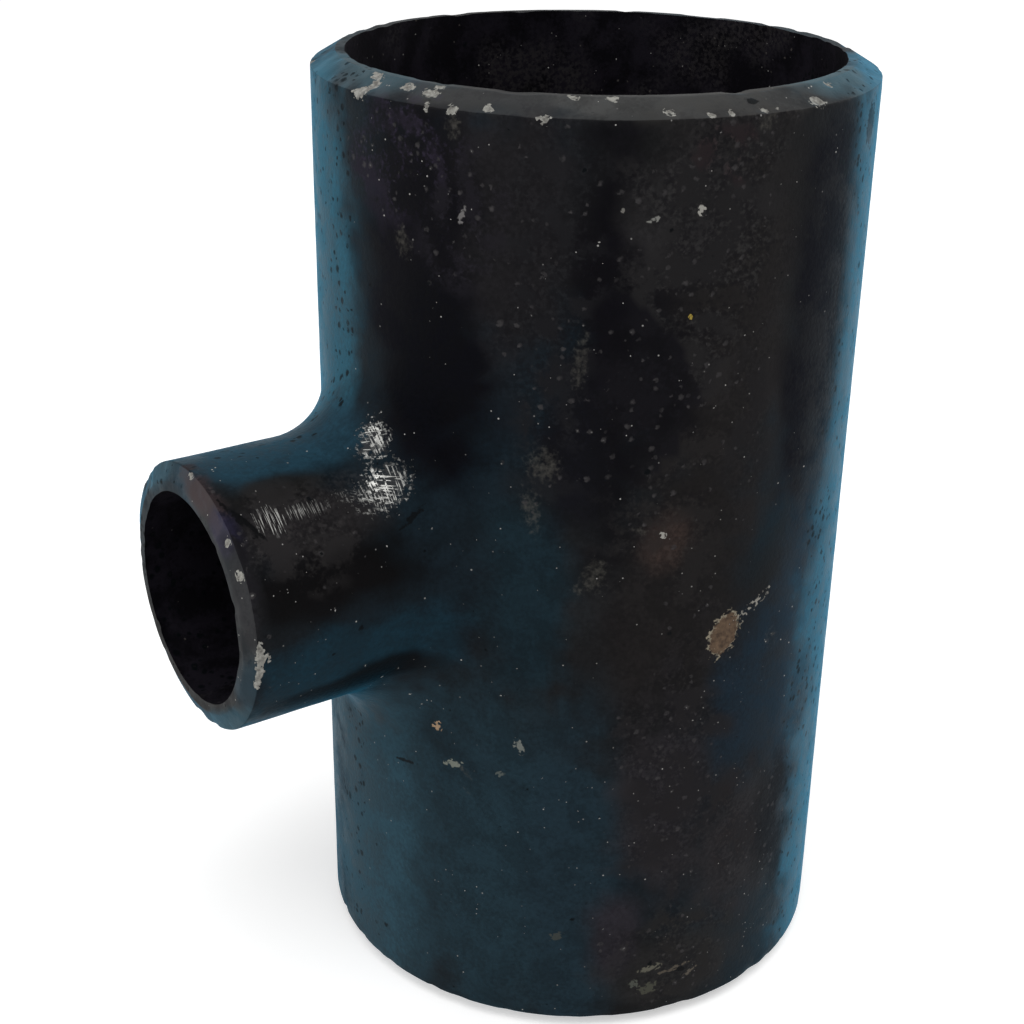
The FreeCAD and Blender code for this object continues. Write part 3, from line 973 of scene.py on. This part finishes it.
scuff_place = most([
    spot((Vector((-46.6, -9.2, 103.2)), steep), 2.8, 3.6, torn_fine, 1.8, 0.5),
    spot((Vector((-47.4, -14.0, 97.4)), slanting), 3.4, 5.4, torn_fine, 1.8, 0.5),
    times(spot((Vector((-52.5, -13.5, 97.5)), lying), 1.8, 3.0, torn_fine, 1.8, 0.5), 0.5),
])
scuffed = times(scuff_place, most([
    use(strokes, Place=place, Turn=strokes_turn, Size=(0.2, 3.6, 3.6), Middle=0.53),
    use(strokes, Place=place, Turn=crossed_turn, Size=(0.22, 2.0, 2.0), Middle=0.59),
]))
scuffed = times(scuffed, sharpen(shard[1], 0.15, 0.12))
body = lay(body, WORN_GREY, times(scuff_place, 0.55))
bright = most([rubbed, scuffed])
body = lay(body, BRIGHT_STEEL, times(bright, 0.8))

# Dust, coarse and fine, in the drifts, and dark pits, few of them except on the clean flanks.
DARK_DUST = tone(92, 91, 90)
PALE_DUST = tone(190, 188, 184)
PIT_BLACK = tone(3, 6, 8)
fine_dust = use(grains, Distance=shards.outputs["Distance"], Luck=shard[1], Size=0.36,
                Chance=shard[2], Share=times(drifted, 0.035))
dust = most([grains_of(0.13, luck[0], times(drifted, 0.3)), fine_dust])
body = lay(body, lay(DARK_DUST, PALE_DUST, luck[2]), times(dust, 0.85))
calm = work("SUBTRACT", 1.0, drifted)
pit_share = times(sharpen(calm, 1.15, 0.12), sharpen(blotch, 0.5, 0.35))
pit_share = work("MULTIPLY_ADD", pit_share, 1.3, 0.02)
pit_size = work("MULTIPLY_ADD", calm, 0.3, 0.15)
pits = grains_of(pit_size, work("SUBTRACT", 1.0, luck[0]), pit_share)
body = lay(body, PIT_BLACK, times(pits, 0.9))

# Roughness: satin, duller in the hazes and on the ends, and smoother where it is rubbed.
SATIN, CLOUDED, GRAINY = 0.40, 0.55, 0.1
DULL_END, DULL_BORE, DULL_CHIP, RUBBED_SMOOTH = 0.62, 0.7, 0.75, 0.34
dull = work("MULTIPLY_ADD", grainy, GRAINY, grade(SATIN, CLOUDED, cloudy))
dull = grade(dull, DULL_END, end_mask)
dull = grade(dull, DULL_BORE, bore)
dull = grade(dull, DULL_CHIP, most([chip, tan_core, smear]))
dull = grade(dull, RUBBED_SMOOTH, bright)

# Relief in millimetres, finer than the mesh holds.
GRAIN_RELIEF = 0.05
CHIP_RELIEF = -0.12
relief = work("MULTIPLY_ADD", attribute("chipped"), CHIP_RELIEF, times(fine, GRAIN_RELIEF))
bump = put(tree, "ShaderNodeBump", {"Strength": 1.0, "Distance": MM, "Height": relief})

# The shader: little gloss, and a blue sheen seen along the skin.
PAINT_GLOSS = 0.035
SHEEN = 0.3
SHEEN_SPREAD = 0.25
SHEEN_BLUE = (0.0, 0.58, 1.0, 1.0)
BRIGHT_METAL = 0.6
tree.links.new(body, shader.inputs["Base Color"])
tree.links.new(dull, shader.inputs["Roughness"])
tree.links.new(times(bright, BRIGHT_METAL), shader.inputs["Metallic"])
tree.links.new(bump.outputs["Normal"], shader.inputs["Normal"])
shader.inputs["Specular IOR Level"].default_value = PAINT_GLOSS
shader.inputs["Sheen Weight"].default_value = SHEEN
shader.inputs["Sheen Roughness"].default_value = SHEEN_SPREAD
shader.inputs["Sheen Tint"].default_value = SHEEN_BLUE
tee_mesh.materials.append(paint)

# The same paint in the bores, without the blue.
paint_in_bore = paint.copy()
paint_in_bore.name = "dull_paint_in_bore"
paint_in_bore.node_tree.nodes["Principled BSDF"].inputs["Sheen Weight"].default_value = 0.0
tee_mesh.materials.append(paint_in_bore)

# The floor: a plain sheet of white paper, wide enough to fill the view, that carries the tee's
# soft shadow. What the camera sees of it is lifted to white.
WHITE = (1, 1, 1, 1)
PAPER = (0.82, 0.82, 0.82, 1.0)
PAPER_LIFT = 0.44
FLOOR_RADIUS = 6.0
floor_mesh = bpy.data.meshes.new("floor")
paper = bmesh.new()
bmesh.ops.create_circle(paper, cap_ends=True, segments=96, radius=FLOOR_RADIUS)
paper.to_mesh(floor_mesh)
paper.free()
floor = bpy.data.objects.new("floor", floor_mesh)
bpy.context.collection.objects.link(floor)

white_paper = bpy.data.materials.new("white_paper")
white_paper.use_nodes = True
tree = white_paper.node_tree
matt = tree.nodes["Principled BSDF"]
matt.inputs["Base Color"].default_value = PAPER
matt.inputs["Roughness"].default_value = 1.0
matt.inputs["Specular IOR Level"].default_value = 0.0
floor_mesh.materials.append(white_paper)


def seen_rays(tree):
    """One for what the camera sees, directly, in a gloss or through glass."""
    rays = put(tree, "ShaderNodeLightPath")
    seen = rays.outputs["Is Camera Ray"]
    for kind in ("Is Glossy Ray", "Is Transmission Ray"):
        seen = put(tree, "ShaderNodeMath", {0: seen, 1: rays.outputs[kind]},
                   operation="MAXIMUM").outputs[0]
    return seen


lift = put(tree, "ShaderNodeMath", {0: seen_rays(tree), 1: PAPER_LIFT}, operation="MULTIPLY")
glow = put(tree, "ShaderNodeEmission", {"Color": WHITE, "Strength": lift.outputs[0]})
both = put(tree, "ShaderNodeAddShader", {0: matt.outputs[0], 1: glow.outputs[0]})
tree.links.new(both.outputs[0], tree.nodes["Material Output"].inputs["Surface"])

# The studio: a pale room that fills the shadows and is seen as pure white, and three large
# round soft lamps, one above and one at each side, turned to the middle of the tee.
ROOM_LIGHT = 0.6
world = bpy.data.worlds.new("studio")
world.use_nodes = True
bpy.context.scene.world = world
tree = world.node_tree
strength = put(tree, "ShaderNodeMapRange", {"Value": seen_rays(tree), "To Min": ROOM_LIGHT,
                                            "To Max": 1.0})
room = tree.nodes["Background"]
room.inputs["Color"].default_value = WHITE
tree.links.new(strength.outputs["Result"], room.inputs["Strength"])

LAMP_TARGET = Vector((0, 0, 0.08))
LAMPS = [
    ("lamp_above", (-0.35, -0.55, 1.45), 0.9, 7.8),
    ("lamp_left", (-1.25, 0.25, 0.55), 0.7, 3.8),
    ("lamp_right", (1.15, -0.15, 0.55), 0.7, 3.8),
]
for name, lamp_place, size, power in LAMPS:
    lamp_data = bpy.data.lights.new(name, "AREA")
    lamp_data.shape = "DISK"
    lamp_data.size = size
    lamp_data.energy = power
    lamp = bpy.data.objects.new(name, lamp_data)
    lamp.location = lamp_place
    lamp.rotation_euler = (LAMP_TARGET - lamp.location).to_track_quat("-Z", "Y").to_euler()
    bpy.context.collection.objects.link(lamp)

# The camera, at the photograph's viewpoint: where it stands, how it is turned, tipped and
# rolled, and its lens, in millimetres on a sensor of the usual width.
CAMERA_AZIMUTH = math.radians(-34.742)
CAMERA_ELEVATION = math.radians(24.445)
CAMERA_ROLL = math.radians(0.881)
CAMERA_PLACE = Vector((-164.906, -216.945, 199.841)) * MM
LENS = 59.963
SENSOR_WIDTH = 36
NEAREST, FARTHEST = 0.01, 50

back = Vector((math.sin(CAMERA_AZIMUTH) * math.cos(CAMERA_ELEVATION),
               -math.cos(CAMERA_AZIMUTH) * math.cos(CAMERA_ELEVATION),
               math.sin(CAMERA_ELEVATION)))
level = Vector((math.cos(CAMERA_AZIMUTH), math.sin(CAMERA_AZIMUTH), 0))
upright = back.cross(level)
right = level * math.cos(CAMERA_ROLL) + upright * math.sin(CAMERA_ROLL)
up = upright * math.cos(CAMERA_ROLL) - level * math.sin(CAMERA_ROLL)
camera_data = bpy.data.cameras.new("camera")
camera_data.lens = LENS
camera_data.sensor_width = SENSOR_WIDTH
camera_data.clip_start = NEAREST
camera_data.clip_end = FARTHEST
camera = bpy.data.objects.new("camera", camera_data)
turned = Matrix((right, up, back)).transposed().to_4x4()
camera.matrix_world = Matrix.Translation(CAMERA_PLACE) @ turned
bpy.context.collection.objects.link(camera)
bpy.context.scene.camera = camera
bpy.context.scene.view_settings.view_transform = "Standard"
